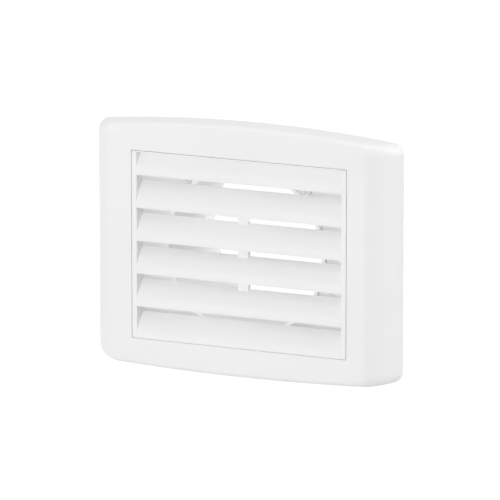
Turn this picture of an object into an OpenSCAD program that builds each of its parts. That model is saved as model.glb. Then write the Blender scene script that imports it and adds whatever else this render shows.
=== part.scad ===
// Supply air valve for a round wall duct: a flared cover with a pull-out louvre insert, on a wall
// plate with a duct spigot that holds a butterfly damper.
// Origin: on the duct axis, in the wall plane. +Z is up, the room is at -Y, the duct at +Y.
// Louvre and cover profiles are drawn as [depth behind the front face, height].

/* [Front cover] */
// Width of the cover at the wall
cover_w = 190.5; // [188:0.5:196]
// How far each side flares out between the front face and the wall
side_flare = 16.5; // [14:0.25:18]
// Depth from the wall plane to the front face
cover_d = 18; // [17:0.5:21]
// Height of the top edge above the duct axis, at mid width
cover_top = 74.4; // [73:0.1:80]
// How far the top edge drops from mid width to the sides
top_rise = 5.3; // [3:0.1:6]
// Depth of the bottom edge below the duct axis, at mid width
cover_bottom = 72.9; // [72:0.1:80]
// How far the bottom edge rises from mid width to the sides
bottom_rise = 3.1; // [1:0.1:5]
// Corner radius of the cover, seen from the front
corner_r = 7; // [3:0.5:8]
// How far the flared sides bulge past a straight slope
side_bulge = 3; // [2:0.1:3.5]
// Straight rim of the flared sides at the wall
side_rim = 1.3; // [0.5:0.1:2]
// Radius where the front face turns into the flared sides
side_edge_r = 12; // [6:0.5:14]
// Radius where the front face turns into the top and bottom walls
top_edge_r = 3; // [2.2:0.1:4]
// Wall of the cover
cover_wall = 2; // [1.5:0.1:2]

/* [Louvre insert] */
// Width of the louvre insert
insert_w = 134; // [126:1:138]
// Height of the louvre insert
insert_h = 110.4; // [106:0.2:112]
// Depth of the louvre insert from its front face
insert_d = 8.8; // [8:0.1:9.2]
// Gap all round between insert and cover
seam = 0.4; // [0.35:0.05:0.8]
// Width of the side rails
rail_w = 3; // [2:0.1:5]
// Height of the thin top rail
top_rail_h = 0.6; // [0.5:0.1:1.4]
// Height of the bottom rail behind the last louvre
bottom_rail_h = 1.6; // [1:0.1:2.5]
// Distance from the top of the insert to the lower edge of the first louvre
first_edge = 14.2; // [13:0.1:14.8]
// How far the last louvre's lower edge would lie below the insert, where the bottom rail cuts it
last_drop = 0.8; // [0:0.1:1.6]
// Height of the upright lip at the front of a louvre
lip_h = 5; // [3:0.1:6]
// Height of a louvre from its lower front edge to its upper rear edge
louvre_h = 15.1; // [14:0.1:15.6]
// Depth at which the slope of a louvre starts to level off
slope_d = 4; // [3:0.1:5]
// Slope of a louvre in degrees from the horizontal
slope_angle = 56; // [48:1:60]
// Thickness of a louvre
louvre_wall = 1.6; // [1.2:0.1:2]
// Width of the comb that ties the middle louvres together
comb_w = 6.4; // [4:0.1:8]
// Depth at which the comb's teeth start
comb_front_d = 6.8; // [4.4:0.1:7.6]
// Thickness of the comb's spine behind the louvres
comb_spine_t = 1.4; // [1:0.1:1.8]

/* [Wall plate and spigot] */
// Thickness of the wall plate
plate_t = 3; // [2:0.1:4]
// Thickness of the foam gasket between plate and wall
gasket_t = 2; // [1:0.1:3]
// Outside diameter of the duct spigot
spigot_od = 99; // [98:0.1:99.6]
// Wall of the duct spigot
spigot_wall = 1.5; // [1.3:0.1:2]
// Length of the spigot past the damper spindle
spigot_past = 16; // [14:0.5:24]
// Wall of the collar on the plate
collar_wall = 2; // [1.5:0.1:3]
// Width of the spigot's flange
flange_w = 7.5; // [6.5:0.5:9]
// Distance of the wall screw holes from the cover's sides
hole_margin = 17.25; // [16:0.25:24]
// Distance between the wall screw holes, up and down
hole_span_z = 100; // [90:1:106]
// Diameter of the wall screw holes
hole_d = 4.5; // [4:0.1:5.5]

/* [Damper] */
// Clearance between the comb and the flap when it is level
flap_clear = 1.4; // [0.8:0.1:3]
// Diameter of the damper spindle
spindle_d = 5; // [4:0.1:5.4]
// Thickness of the damper flap
flap_t = 2; // [1.6:0.1:2.4]
// Angle of the flap at rest, from closed at 0 to level at 90
open_angle = 76; // [70:1:80]

/* [Hidden] */

// Clearances
fit = 0.4;
run_gap = 0.05;
free_gap = 0.3;
// Overshoot of cutting shapes
eps = 1;
// Thickness of the slices that the cover is lofted from
skin = 0.01;
// Facets of the large rounds in a preview
round_fn = 128;

front_y = -cover_d;
cover_front_w = cover_w - 2 * side_flare;
plate_back = -gasket_t;
plate_front = plate_back - plate_t;
window_w = insert_w + 2 * seam;
window_h = insert_h + 2 * seam;
insert_top = insert_h / 2;
insert_back = front_y + insert_d;
louvre_count = 6;
pitch = (insert_h - first_edge + last_drop) / (louvre_count - 1);
comb_d = insert_d + comb_spine_t;

bore_r = spigot_od / 2 - spigot_wall;
flange_od = spigot_od + 2 * flange_w;
collar_front = insert_back + free_gap;
collar_r = bore_r + collar_wall;

// Return walls round the window, with a ledge that the insert seats on
return_wall = 1.8;
ledge_w = 2.5;
ledge_t = 1.2;
return_d = insert_d + free_gap + ledge_t;

// Snap fingers of the cover, and the catches on the plate that they hook under
finger_x = 45;
finger_w = 10;
finger_t = 1.8;
barb_h = 1.6;
barb_l = 2.6;
catch_t = 2;
catch_h = 6.2;
catch_room = 2.5;
catch_bar_front = plate_front - catch_h;
barb_front = catch_bar_front + catch_t;

catch_end_x = finger_x + finger_w / 2 + fit + catch_t;
finger_z = min(top_at(catch_end_x), -bottom_at(catch_end_x)) - cover_wall - catch_room - catch_t - fit
    - finger_t;

// Louvre profile: an upright lip, a slope, and an arc that levels off towards the rear edge
slope_h = lip_h + slope_d * tan(slope_angle);
arc_run = [insert_d - slope_d, louvre_h - slope_h];
arc_chord = norm(arc_run);
arc_turn = slope_angle - atan2(arc_run[1], arc_run[0]);
arc_r = arc_chord / 2 / sin(arc_turn);
arc_steps = 8;

// Damper
spindle_r = spindle_d / 2;
washer_t = 1.1;
washer_inset = 1;
bush_wall = 1.5;
bush_r = spindle_r + bush_wall;
bush_flange_w = 2;
bush_flange_r = bush_r + bush_flange_w;
bush_flange_t = 1;
bush_inner_x = sqrt(pow(bore_r, 2) - pow(bush_flange_r, 2)) - run_gap - bush_flange_t;
washer_x = bush_inner_x - washer_t;
barrel_wall = 1.5;
barrel_r = spindle_r + barrel_wall;
barrel_half = washer_x - free_gap;
edge_seal_w = 2;
edge_seal_lap = 0.6;
edge_seal_t = flap_t + 2 * edge_seal_lap;
seal_gap = 0.6;
seal_r = bore_r - seal_gap;
spindle_y = front_y + comb_d + flap_clear + seal_r;
flap_r = seal_r - edge_seal_w;
flap_screw_x = 20;
screw_shank_r = 1.25;
screw_head_r = 2.6;
screw_head_h = 1.6;

// Duct seal on the spigot
groove_w = 4;
groove_depth = 0.6;
groove_inset = 7.5;
spigot_l = spindle_y + spigot_past;
groove_y = spigot_l - groove_inset;

white = "#eeeeee";
grille_white = "#f0f0f0";
rubber = "#3a3b3d";
foam = "#55575a";
bush_white = "#e8e8e5";
steel = "#b9bcc0";

// Turns a shape drawn in [x, z] and extruded upwards to run along Y, from y towards the duct
module along_y(y) {
    translate([0, y, 0]) rotate([-90, 0, 0]) mirror([0, 1, 0]) children();
}

// Round bar along Y from y to y + l
module rod_y(x, z, r, y, l, fn = 48) {
    translate([x, y, z]) rotate([-90, 0, 0]) cylinder(r = r, h = l, $fn = fn);
}

// Extrudes a profile drawn in [depth behind the front face, height] along X, centred on x
module along_x(w, x = 0) {
    translate([x - w / 2, front_y, 0]) rotate([90, 0, 90]) linear_extrude(w) children();
}

// Height of the cover's top and bottom edges at a distance x from mid width
function top_at(x) = cover_top - top_rise * pow(2 * x / cover_w, 2);
function bottom_at(x) = -cover_bottom + bottom_rise * pow(2 * x / cover_w, 2);

// Slope in degrees of those edges at x
function top_slope(x) = atan(8 * top_rise * x / pow(cover_w, 2));
function bottom_slope(x) = atan(8 * bottom_rise * x / pow(cover_w, 2));

// Points of one rounded corner: the side is upright at hx, the edge ends at height z and
// falls towards the corner by the angle a
function corner_points(hx, z, a, r, steps = 5) = [
    for (i = [0 : steps]) let (t = i * (90 - a) / steps)
        [hx - r + r * cos(t), z + r * tan(a) - r / cos(a) + r * sin(t)]];

function reverse(list) = [for (i = [len(list) - 1 : -1 : 0]) list[i]];

// Right half of the cover's outline, from the bottom at mid width round both corners to the top
edge_steps = 8;
function right_outline(hx, inset, r) = concat(
    [for (i = [0 : edge_steps - 1]) let (x = i / edge_steps * (hx - r)) [x, bottom_at(x) + inset]],
    reverse([for (p = corner_points(hx, -(bottom_at(hx) + inset), bottom_slope(hx), r)) [p[0], -p[1]]]),
    corner_points(hx, top_at(hx) - inset, top_slope(hx), r),
    [for (i = [edge_steps - 1 : -1 : 0]) let (x = i / edge_steps * (hx - r)) [x, top_at(x) - inset]]);

// Whole outline, with its arched top and bottom edges moved in by inset
function outline(hx, inset, r) = let (right = right_outline(hx, inset, r)) concat(
    right, [for (p = reverse(right)) if (p[0] > 0) [-p[0], p[1]]]);

// Side profile of the cover as [half width, depth, slope angle]: a small edge radius, then an arc
side_start = [cover_front_w / 2, 0];
side_end = [cover_w / 2, cover_d - side_rim];
side_chord = norm(side_end - side_start);
side_r = (pow(side_chord / 2, 2) + pow(side_bulge, 2)) / (2 * side_bulge);
side_half_turn = asin(side_chord / 2 / side_r);
side_mid_angle = atan2(side_end[1] - side_start[1], side_end[0] - side_start[0]);
side_angle_0 = side_mid_angle - side_half_turn;
side_angle_1 = side_mid_angle + side_half_turn;
edge_tangent = side_edge_r * tan(side_angle_0 / 2);

edge_arc_steps = 4;
side_arc_steps = 8;
side_profile = concat(
    [for (i = [0 : edge_arc_steps]) let (a = i / edge_arc_steps * side_angle_0)
        [side_start[0] - edge_tangent + side_edge_r * sin(a), side_edge_r * (1 - cos(a)), a]],
    [for (i = [2 : side_arc_steps])
        let (a = side_angle_0 + i / side_arc_steps * (side_angle_1 - side_angle_0))
        [side_start[0] + side_r * (sin(a) - sin(side_angle_0)),
         side_r * (cos(side_angle_0) - cos(a)), a]]);

// Slope angle of the flared side at a depth s, and the half width inside its wall there
function side_angle(s) = acos(cos(side_angle_0) - s / side_r);
function inner_half_w(s) = side_start[0] + side_r * (sin(side_angle(s)) - sin(side_angle_0))
    - cover_wall / sin(side_angle(s));

// How far the top and bottom edges lie inside their full height at a depth s, for an edge radius r
function edge_inset(s, r) = s >= r ? 0 : r - sqrt(pow(r, 2) - pow(r - s, 2));

// One thin slice of the cover's form
module cover_slice(hx, s, inset, r) {
    along_y(front_y + s) linear_extrude(skin) polygon(outline(hx, inset, r));
}

// The cover's full form, moved inwards by the wall thickness t, with the back at depth d
module cover_form(t, d) {
    r_top = top_edge_r - t;
    r_corner = max(corner_r - t, 1);
    hull() {
        for (p = side_profile)
            cover_slice(p[0] - t * sin(p[2]), p[1] + t * cos(p[2]),
                        t + edge_inset(p[1] + t * cos(p[2]) - t, r_top), r_corner);
        cover_slice(side_end[0] - t, d - skin, t, r_corner);
        for (s = [0.15, 0.45, 1] * r_top)
            cover_slice(side_start[0] - edge_tangent, t + s, t + edge_inset(s, r_top), r_corner);
    }
}

// Box between two depths behind the front face, centred in width and height
module window_box(w, h, d0, d1) {
    translate([-w / 2, front_y + d0, -h / 2]) cube([w, d1 - d0, h]);
}

// Snap finger of the cover with its barb, for the top edge
module finger() {
    y0 = front_y + cover_wall - fit;
    y1 = plate_front - free_gap;
    translate([finger_x - finger_w / 2, y0, finger_z]) cube([finger_w, y1 - y0, finger_t]);
    translate([finger_x - finger_w / 2, 0, 0]) rotate([90, 0, 90]) linear_extrude(finger_w)
        polygon([[barb_front, finger_z + finger_t - fit], [barb_front, finger_z + finger_t + barb_h],
                 [barb_front + barb_l, finger_z + finger_t],
                 [barb_front + barb_l, finger_z + finger_t - fit]]);
}

module front_cover() {
    color(white) difference() {
        union() {
            difference() {
                cover_form(0, cover_d - free_gap);
                cover_form(cover_wall, cover_d + eps);
            }
            window_box(window_w + 2 * return_wall, window_h + 2 * return_wall, cover_wall / 2, return_d);
            for (side = [0, 1], end = [0, 1]) mirror([side, 0, 0]) mirror([0, 0, end]) finger();
        }
        window_box(window_w, window_h, -eps, insert_d + free_gap);
        window_box(window_w - 2 * ledge_w, window_h, insert_d, return_d + eps);
    }
}

// Point of a louvre's outer arc, and of the same arc moved inwards by t, as [depth, height]
function louvre_arc(a, t) = [slope_d + arc_r * (sin(slope_angle) - sin(a)) + t * sin(a),
                             slope_h + arc_r * (cos(a) - cos(slope_angle)) - t * cos(a)];

arc_angles = [for (i = [0 : arc_steps]) slope_angle - i / arc_steps * 2 * arc_turn];
outer_arc = [for (a = arc_angles) louvre_arc(a, 0)];
lip_inner_h = lip_h - louvre_wall * tan(45 - slope_angle / 2);

// Louvre profile from the lip's lower front edge, with the rear edge cut off at the insert's back
module louvre_profile() {
    intersection() {
        polygon(concat([[0, 0], [0, lip_h]],
                       outer_arc,
                       [for (a = reverse(arc_angles)) louvre_arc(a, louvre_wall)],
                       [[louvre_wall, lip_inner_h], [louvre_wall, 0]]));
        square([insert_d, louvre_h + eps]);
    }
}

// Height of the lower front edge of louvre k, counted from 1 at the top
function edge_z(k) = insert_top - first_edge - (k - 1) * pitch;

// Louvre k between the side rails, kept inside the insert's top and bottom rails
module louvre(k) {
    color(grille_white) along_x(insert_w - 2 * rail_w) intersection() {
        translate([0, edge_z(k)]) louvre_profile();
        translate([0, -insert_top]) square([insert_d, insert_h]);
        if (k == 1) translate([0, -insert_top]) square([insert_d, insert_h - top_rail_h]);
    }
}

// Depth of the thin top rail, which ends where the first louvre's slope comes up behind it
top_rail_d = slope_d;
nub_r = 1.5;
nub_gap = 0.25;
nub_out = seam - nub_gap;
nub_z = insert_h / 3;

module insert_frame() {
    color(grille_white) {
        for (side = [0, 1]) mirror([side, 0, 0]) {
            translate([insert_w / 2 - rail_w, front_y, -insert_top]) cube([rail_w, insert_d, insert_h]);
            for (z = [-nub_z, nub_z]) translate([insert_w / 2 - nub_r + nub_out, front_y + insert_d / 2, z])
                sphere(r = nub_r, $fn = 32);
        }
        along_x(insert_w - rail_w) translate([0, insert_top - top_rail_h]) square([top_rail_d, top_rail_h]);
        along_x(insert_w - rail_w) translate([louvre_wall, -insert_top])
            square([insert_d - louvre_wall, bottom_rail_h]);
    }
}

// Height of a louvre's outer arc above its lower front edge, at the depth d
function outer_h(d) = slope_h
    + arc_r * (cos(asin(sin(slope_angle) - (d - slope_d) / arc_r)) - cos(slope_angle));

// Space under a louvre's outer surface
module louvre_under() {
    polygon(concat([[0, 0], [0, lip_h]], outer_arc, [[insert_d, 0]]));
}

comb_bottom = edge_z(5) + slope_h;
comb_top = edge_z(2) + outer_h(comb_front_d) - free_gap;

// Comb that ties the middle louvres together: a tooth in each of three slots, on a spine behind them
module louvre_comb() {
    color(grille_white) along_x(comb_w) difference() {
        translate([comb_front_d, comb_bottom]) square([comb_d - comb_front_d, comb_top - comb_bottom]);
        for (k = [2 : 4]) translate([0, edge_z(k)]) louvre_profile();
        translate([0, edge_z(5)]) louvre_under();
    }
}

// Half widths of the plate and of its rim, each inside the flared sides at its own front
rim_w = 1.8;
rim_h = 3;
plate_half_w = inner_half_w(cover_d + plate_front) - fit;
rim_half_w = inner_half_w(cover_d + plate_front - rim_h) - fit;

// Outline inside the cover's walls, for a half width, moved in by inset
module plate_outline(half_w, inset) {
    m = cover_wall + fit + inset;
    polygon(outline(half_w - inset, m, max(corner_r - m, 1)));
}

// Catch on the plate for one snap finger: two posts and a bar, for the top edge
module catch() {
    z0 = finger_z + finger_t + fit;
    for (x = [-1, 1]) translate([finger_x + x * (finger_w / 2 + fit + catch_t / 2) - catch_t / 2,
                                 catch_bar_front, z0])
        cube([catch_t, plate_front - catch_bar_front + fit, catch_t]);
    translate([finger_x - finger_w / 2 - fit - catch_t, catch_bar_front, z0])
        cube([finger_w + 2 * (fit + catch_t), catch_t, catch_t]);
}

hole_span_x = cover_w - 2 * hole_margin;
boss_wall = 3.75;
boss_r = hole_d / 2 + boss_wall;
boss_h = 2;
gusset_l = 9;
gusset_t = 1.6;
gusset_root_drop = 1.5;
gusset_tip_h = 1;
gusset_pitch = 45;
spigot_screw_r = (flange_od / 2 + spigot_od / 2) / 2;

// Places its children at the four wall screw holes
module at_wall_holes() {
    for (x = [-1, 1], z = [-1, 1]) translate([x * hole_span_x / 2, 0, z * hole_span_z / 2]) children();
}

// Places its children at the four flange screws
module at_flange_screws() {
    for (a = [45 : 90 : 315]) rotate([0, a, 0]) translate([spigot_screw_r, 0, 0]) children();
}

module base_plate() {
    color(white) difference() {
        union() {
            along_y(plate_front) linear_extrude(plate_t) plate_outline(plate_half_w, 0);
            along_y(plate_front - rim_h) linear_extrude(rim_h + fit) difference() {
                plate_outline(rim_half_w, 0);
                plate_outline(rim_half_w, rim_w);
            }
            rod_y(0, 0, collar_r, collar_front, plate_front - collar_front + fit, round_fn);
            at_wall_holes() rod_y(0, 0, boss_r, plate_front - boss_h, boss_h + fit);
            for (a = [gusset_pitch / 2 : gusset_pitch : 360]) rotate([0, a, 0])
                translate([0, 0, -gusset_t / 2]) linear_extrude(gusset_t)
                    polygon([[collar_r - fit, plate_front + fit], [collar_r + gusset_l, plate_front + fit],
                             [collar_r + gusset_l, plate_front - gusset_tip_h],
                             [collar_r - fit, collar_front + gusset_root_drop]]);
            for (side = [0, 1], end = [0, 1]) mirror([side, 0, 0]) mirror([0, 0, end]) catch();
        }
        rod_y(0, 0, bore_r, collar_front - eps, cover_d, round_fn);
        at_wall_holes() rod_y(0, 0, hole_d / 2, plate_front - boss_h - eps, plate_t + boss_h + 2 * eps);
        at_flange_screws() rod_y(0, 0, screw_shank_r + run_gap, plate_front - eps, plate_t + 2 * eps, 24);
    }
}

gasket_inset = 2;
gasket_hole_r = boss_r;

module wall_gasket() {
    color(foam) difference() {
        along_y(plate_back) linear_extrude(gasket_t) plate_outline(plate_half_w, gasket_inset);
        rod_y(0, 0, flange_od / 2 + fit, plate_back - eps, gasket_t + 2 * eps, 96);
        at_wall_holes() rod_y(0, 0, gasket_hole_r, plate_back - eps, gasket_t + 2 * eps);
    }
}

stop_w = 6;
stop_h = 3;
stop_l = 3;

module duct_spigot() {
    color(white) {
        difference() {
            rod_y(0, 0, spigot_od / 2, 0, spigot_l, round_fn);
            rod_y(0, 0, bore_r, -eps, spigot_l + 2 * eps, round_fn);
            for (x = [-1, 1]) translate([x * bore_r, spindle_y, 0]) rotate([0, 90, 0])
                cylinder(r = bush_r, h = 2 * (spigot_wall + eps), center = true, $fn = 48);
            along_y(groove_y) linear_extrude(groove_w) difference() {
                circle(r = spigot_od / 2 + eps, $fn = round_fn);
                circle(r = spigot_od / 2 - groove_depth, $fn = round_fn);
            }
        }
        // Stops for the closed flap, one above and one below the spindle
        for (end = [-1, 1]) intersection() {
            translate([-stop_w / 2, spindle_y + end * (edge_seal_t / 2 + free_gap) - (end < 0 ? stop_l : 0),
                       end > 0 ? bore_r - stop_h : -bore_r - fit])
                cube([stop_w, stop_l, stop_h + fit]);
            rod_y(0, 0, spigot_od / 2 - fit, 0, spigot_l, round_fn);
        }
    }
}

// Flange at the root of the spigot, clamped between plate and wall
module spigot_flange() {
    color(white) difference() {
        rod_y(0, 0, flange_od / 2, plate_back, gasket_t, round_fn);
        rod_y(0, 0, bore_r, plate_back - eps, gasket_t + 2 * eps, round_fn);
        at_flange_screws() rod_y(0, 0, screw_shank_r, plate_back - eps, gasket_t + 2 * eps, 24);
    }
}

module spigot_screws() {
    color(white) at_flange_screws() {
        rod_y(0, 0, screw_shank_r, plate_front, plate_t + gasket_t, 24);
        rod_y(0, 0, screw_head_r, plate_front - screw_head_h, screw_head_h, 32);
    }
}

// The lips are drawn pressed back, as they lie in the duct
lip_out = 0.2;
lip_t = 1;

module spigot_seal() {
    color(rubber) translate([0, groove_y, 0]) rotate([-90, 0, 0]) rotate_extrude($fn = round_fn) {
        r0 = spigot_od / 2 - groove_depth;
        translate([r0, 0]) square([groove_depth, groove_w]);
        for (y = [0, groove_w - lip_t]) polygon([[r0 + groove_depth / 2, y], [spigot_od / 2 + lip_out, y],
            [spigot_od / 2 + lip_out, y + lip_t / 3], [r0 + groove_depth / 2, y + lip_t]]);
    }
}

// Tube along X from x0 to x1 on the spindle's axis
module spindle_tube(r_out, r_in, x0, x1) {
    translate([x0, spindle_y, 0]) rotate([0, 90, 0]) difference() {
        cylinder(r = r_out, h = x1 - x0, $fn = 48);
        translate([0, 0, -eps]) cylinder(r = r_in, h = x1 - x0 + 2 * eps, $fn = 48);
    }
}

bush_short = 0.4;
bush_out_x = spigot_od / 2 - bush_short;

module spindle_bushes() {
    color(bush_white) for (side = [0, 1]) mirror([side, 0, 0]) {
        spindle_tube(bush_flange_r, spindle_r + run_gap, bush_inner_x, bush_inner_x + bush_flange_t);
        spindle_tube(bush_r, spindle_r + run_gap, bush_inner_x, bush_out_x);
    }
}

module friction_washers() {
    color(bush_white) for (side = [0, 1]) mirror([side, 0, 0])
        spindle_tube(bush_flange_r - washer_inset, spindle_r + run_gap, washer_x, washer_x + washer_t);
}

// Turns its children from closed, with the flap upright, to the angle at rest
module at_rest() {
    translate([0, spindle_y, 0]) rotate([open_angle, 0, 0]) children();
}

// Space that the bushes and washers take out of the flap's edge
relief_gap = 1;
module bush_relief() {
    for (side = [0, 1]) mirror([side, 0, 0]) translate([barrel_half, 0, 0]) rotate([0, 90, 0])
        cylinder(r = bush_flange_r + relief_gap, h = bore_r, $fn = 64);
}

module damper_spindle() {
    color(steel) at_rest() difference() {
        translate([-bush_out_x, 0, 0]) rotate([0, 90, 0])
            cylinder(r = spindle_r, h = 2 * bush_out_x, $fn = 48);
        for (x = [-flap_screw_x, flap_screw_x])
            rod_y(x, 0, screw_shank_r, -spindle_r - eps, 2 * (spindle_r + eps), 24);
    }
}

rib_t = 1.6;
rib_h = 2.4;
rib_tip_h = 0.4;
rib_x = 28;
rib_reach = 32;
grip_w = 20;
grip_h = 7;
grip_z = 28;

module damper_flap() {
    color(white) at_rest() difference() {
        union() {
            rod_y(0, 0, flap_r, -flap_t / 2, flap_t, round_fn);
            translate([-barrel_half, 0, 0]) rotate([0, 90, 0])
                cylinder(r = barrel_r, h = 2 * barrel_half, $fn = 48);
            // Stiffening ribs and a finger grip on the side that faces the room when closed
            for (x = [-rib_x, 0, rib_x]) translate([x - rib_t / 2, 0, 0]) rotate([90, 0, 90])
                linear_extrude(rib_t) polygon([[0, -rib_reach], [-flap_t / 2 - rib_tip_h, -rib_reach],
                    [-flap_t / 2 - rib_h, -barrel_r], [-flap_t / 2 - rib_h, barrel_r],
                    [-flap_t / 2 - rib_tip_h, rib_reach], [0, rib_reach]]);
            translate([-grip_w / 2, -flap_t / 2 - grip_h, grip_z]) cube([grip_w, grip_h, rib_t]);
        }
        translate([-bore_r, 0, 0]) rotate([0, 90, 0])
            cylinder(r = spindle_r, h = 2 * bore_r, $fn = 48);
        for (x = [-flap_screw_x, flap_screw_x])
            rod_y(x, 0, screw_shank_r, -barrel_r - eps, 2 * (barrel_r + eps), 24);
        bush_relief();
    }
}

edge_seal_grip = 1;

module flap_seal() {
    color(rubber) at_rest() difference() {
        rod_y(0, 0, seal_r, -edge_seal_t / 2, edge_seal_t, round_fn);
        rod_y(0, 0, flap_r - edge_seal_grip, -edge_seal_t, 2 * edge_seal_t, round_fn);
        rod_y(0, 0, flap_r, -flap_t / 2, flap_t, round_fn);
        translate([-bore_r, 0, 0]) rotate([0, 90, 0]) cylinder(r = barrel_r, h = 2 * bore_r, $fn = 48);
        bush_relief();
    }
}

module flap_screws() {
    color(steel) at_rest() for (x = [-flap_screw_x, flap_screw_x]) {
        rod_y(x, 0, screw_shank_r, -barrel_r, barrel_r + spindle_r, 24);
        rod_y(x, 0, screw_head_r, -barrel_r - screw_head_h, screw_head_h, 32);
    }
}

front_cover();
insert_frame();
louvre(1);  // louvre_1
louvre(2);  // louvre_2
louvre(3);  // louvre_3
louvre(4);  // louvre_4
louvre(5);  // louvre_5
louvre(6);  // louvre_6
louvre_comb();
base_plate();
wall_gasket();
duct_spigot();
spigot_flange();
spigot_screws();
spigot_seal();
spindle_bushes();
friction_washers();
damper_spindle();
damper_flap();
flap_seal();
flap_screws();
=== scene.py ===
import logging
from dataclasses import dataclass
from enum import Enum

import bmesh
import bpy
import numpy as np
from mathutils import Matrix


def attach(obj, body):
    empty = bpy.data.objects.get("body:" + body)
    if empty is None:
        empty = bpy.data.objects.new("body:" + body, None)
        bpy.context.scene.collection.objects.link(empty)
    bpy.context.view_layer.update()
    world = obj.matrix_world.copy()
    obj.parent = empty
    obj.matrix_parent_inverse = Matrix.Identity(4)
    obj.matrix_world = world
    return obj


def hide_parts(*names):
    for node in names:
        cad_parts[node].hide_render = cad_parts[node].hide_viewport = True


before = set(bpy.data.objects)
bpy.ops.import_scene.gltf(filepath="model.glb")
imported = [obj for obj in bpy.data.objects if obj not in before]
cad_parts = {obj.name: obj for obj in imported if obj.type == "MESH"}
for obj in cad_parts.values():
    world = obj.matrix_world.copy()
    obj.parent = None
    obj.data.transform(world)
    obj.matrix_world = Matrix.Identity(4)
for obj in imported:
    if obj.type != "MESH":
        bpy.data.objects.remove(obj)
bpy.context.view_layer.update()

log = logging.getLogger("air_valve")

MM = 0.001
# Vertices this close, in metres, are one
MERGE_DISTANCE = 1e-7
# Keeps a division by a chord's length safe
LEAST_LENGTH = 1e-9
WHITE = (1.0, 1.0, 1.0, 1.0)
# Sockets of a Mix node that is set to colours
MIX_FACTOR, MIX_A, MIX_B, MIX_RESULT = 0, 6, 7, 2
# Vertices in millimetres, (n, 3), and faces as lists of indices
Surface = tuple[np.ndarray, list]


class Body(Enum):
    """The rigid groups of the valve that a piece can ride on."""

    HOUSING = "housing"
    DAMPER = "damper"
    INSERT = "insert"


class Axis(Enum):
    """Where the columns (run, first, second) of a swept bar go: the order of X, Y and Z."""

    ALONG_X = (0, 1, 2)
    ALONG_Z = (1, 2, 0)


# Surfaces worked out with numpy


def towards(start: np.ndarray, goal: np.ndarray, distance: float) -> np.ndarray:
    """Points on the straight lines from start to goal, at a distance from start."""
    way = goal - start
    return start + way / np.linalg.norm(way, axis=-1, keepdims=True) * distance


def corner_curve(a: np.ndarray, corner: np.ndarray, b: np.ndarray, t: np.ndarray) -> np.ndarray:
    """The curve (1-t)^2 A + 2 t (1-t) C + t^2 B, which rounds the corner C between A and B."""
    return (1 - t) ** 2 * a + 2 * t * (1 - t) * corner + t ** 2 * b


def fillet(before: tuple, corner: tuple, after: tuple, radius: float, steps: int = 5) -> np.ndarray:
    """Rounds one corner of a profile by a corner curve.

    Args:
        before: point before the corner.
        corner: the corner.
        after: point after the corner.
        radius: distance from the corner to both ends of the curve.
        steps: steps of the curve.

    Returns:
        The curve's points, (steps + 1, 2).
    """
    before, corner, after = (np.asarray(p, float) for p in (before, corner, after))
    t = np.linspace(0, 1, steps + 1)[:, None]
    return corner_curve(towards(corner, before, radius), corner, towards(corner, after, radius), t)


def rounded_polygon(corners: list, radius: float, steps: int = 4) -> np.ndarray:
    """Closed polygon whose corners are all rounded by a corner curve of the same radius.

    Args:
        corners: the corner points in order.
        radius: distance from each corner to the ends of its curve.
        steps: steps of a corner's curve.

    Returns:
        The points of the closed profile.
    """
    p = np.asarray(corners, float)
    a, b = (towards(p, np.roll(p, way, axis=0), radius)[:, None] for way in (1, -1))
    t = np.linspace(0, 1, steps + 1)[None, :, None]
    return corner_curve(a, p[:, None], b, t).reshape(-1, 2)


def box_profile(x0: float, x1: float, y0: float, y1: float, radius: float) -> np.ndarray:
    """Rounded rectangle from (x0, y0) to (x1, y1), as a closed profile."""
    return rounded_polygon([(x0, y0), (x1, y0), (x1, y1), (x0, y1)], radius)


def grid_faces(rows: int, cols: int, wrap_rows: bool, wrap_cols: bool) -> list:
    """Quads of a grid of rows by columns, whose vertex (i, j) has the index i * cols + j.

    Args:
        rows: number of rows of vertices.
        cols: number of columns of vertices.
        wrap_rows: whether the last row joins the first.
        wrap_cols: whether the last column joins the first.

    Returns:
        The quads as lists of four indices.
    """
    i = np.arange(rows if wrap_rows else rows - 1)[:, None]
    j = np.arange(cols if wrap_cols else cols - 1)[None, :]
    k, m = (i + 1) % rows, (j + 1) % cols
    quads = np.stack([i * cols + j, i * cols + m, k * cols + m, k * cols + j], axis=-1)
    return quads.reshape(-1, 4).tolist()


def tube_faces(rows: int, cols: int) -> list:
    """Faces of a closed tube: a grid of rings wrapped round, and a face at each end."""
    ends = [list(range(cols))[::-1], list(range((rows - 1) * cols, rows * cols))]
    return grid_faces(rows, cols, False, True) + ends


def swept_bar(profile: np.ndarray, start: float, stop: float, bevel: float,
              axis: Axis) -> Surface:
    """Closed bar: a profile carried along a straight run, with its two ends bevelled.

    Ring k lies at run position (start, start+bevel, stop-bevel, stop); its points are the
    profile's, moved inwards by (bevel, 0, 0, bevel) along the normal of the neighbours' chord.

    Args:
        profile: closed profile, (points, 2).
        start: position of the first end along the run.
        stop: position of the other end.
        bevel: size of the bevel at both ends.
        axis: which axis the run follows.

    Returns:
        Vertices, (n, 3), and faces.
    """
    after, before = np.roll(profile, -1, axis=0), np.roll(profile, 1, axis=0)
    chord = after - before
    length = np.maximum(np.linalg.norm(chord, axis=1, keepdims=True), LEAST_LENGTH)
    area = np.sum(profile[:, 0] * after[:, 1] - profile[:, 1] * after[:, 0])
    inward = np.stack([-chord[:, 1], chord[:, 0]], axis=1) / length * (1.0 if area > 0 else -1.0)
    small = profile + inward * bevel
    run = np.array([start, start + bevel, stop - bevel, stop])
    rings = np.stack([small, profile, profile, small])
    along = np.broadcast_to(run[:, None, None], (len(run), len(profile), 1))
    verts = np.concatenate([along, rings], axis=2).reshape(-1, 3)
    return verts[:, list(axis.value)], tube_faces(len(run), len(profile))


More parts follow.
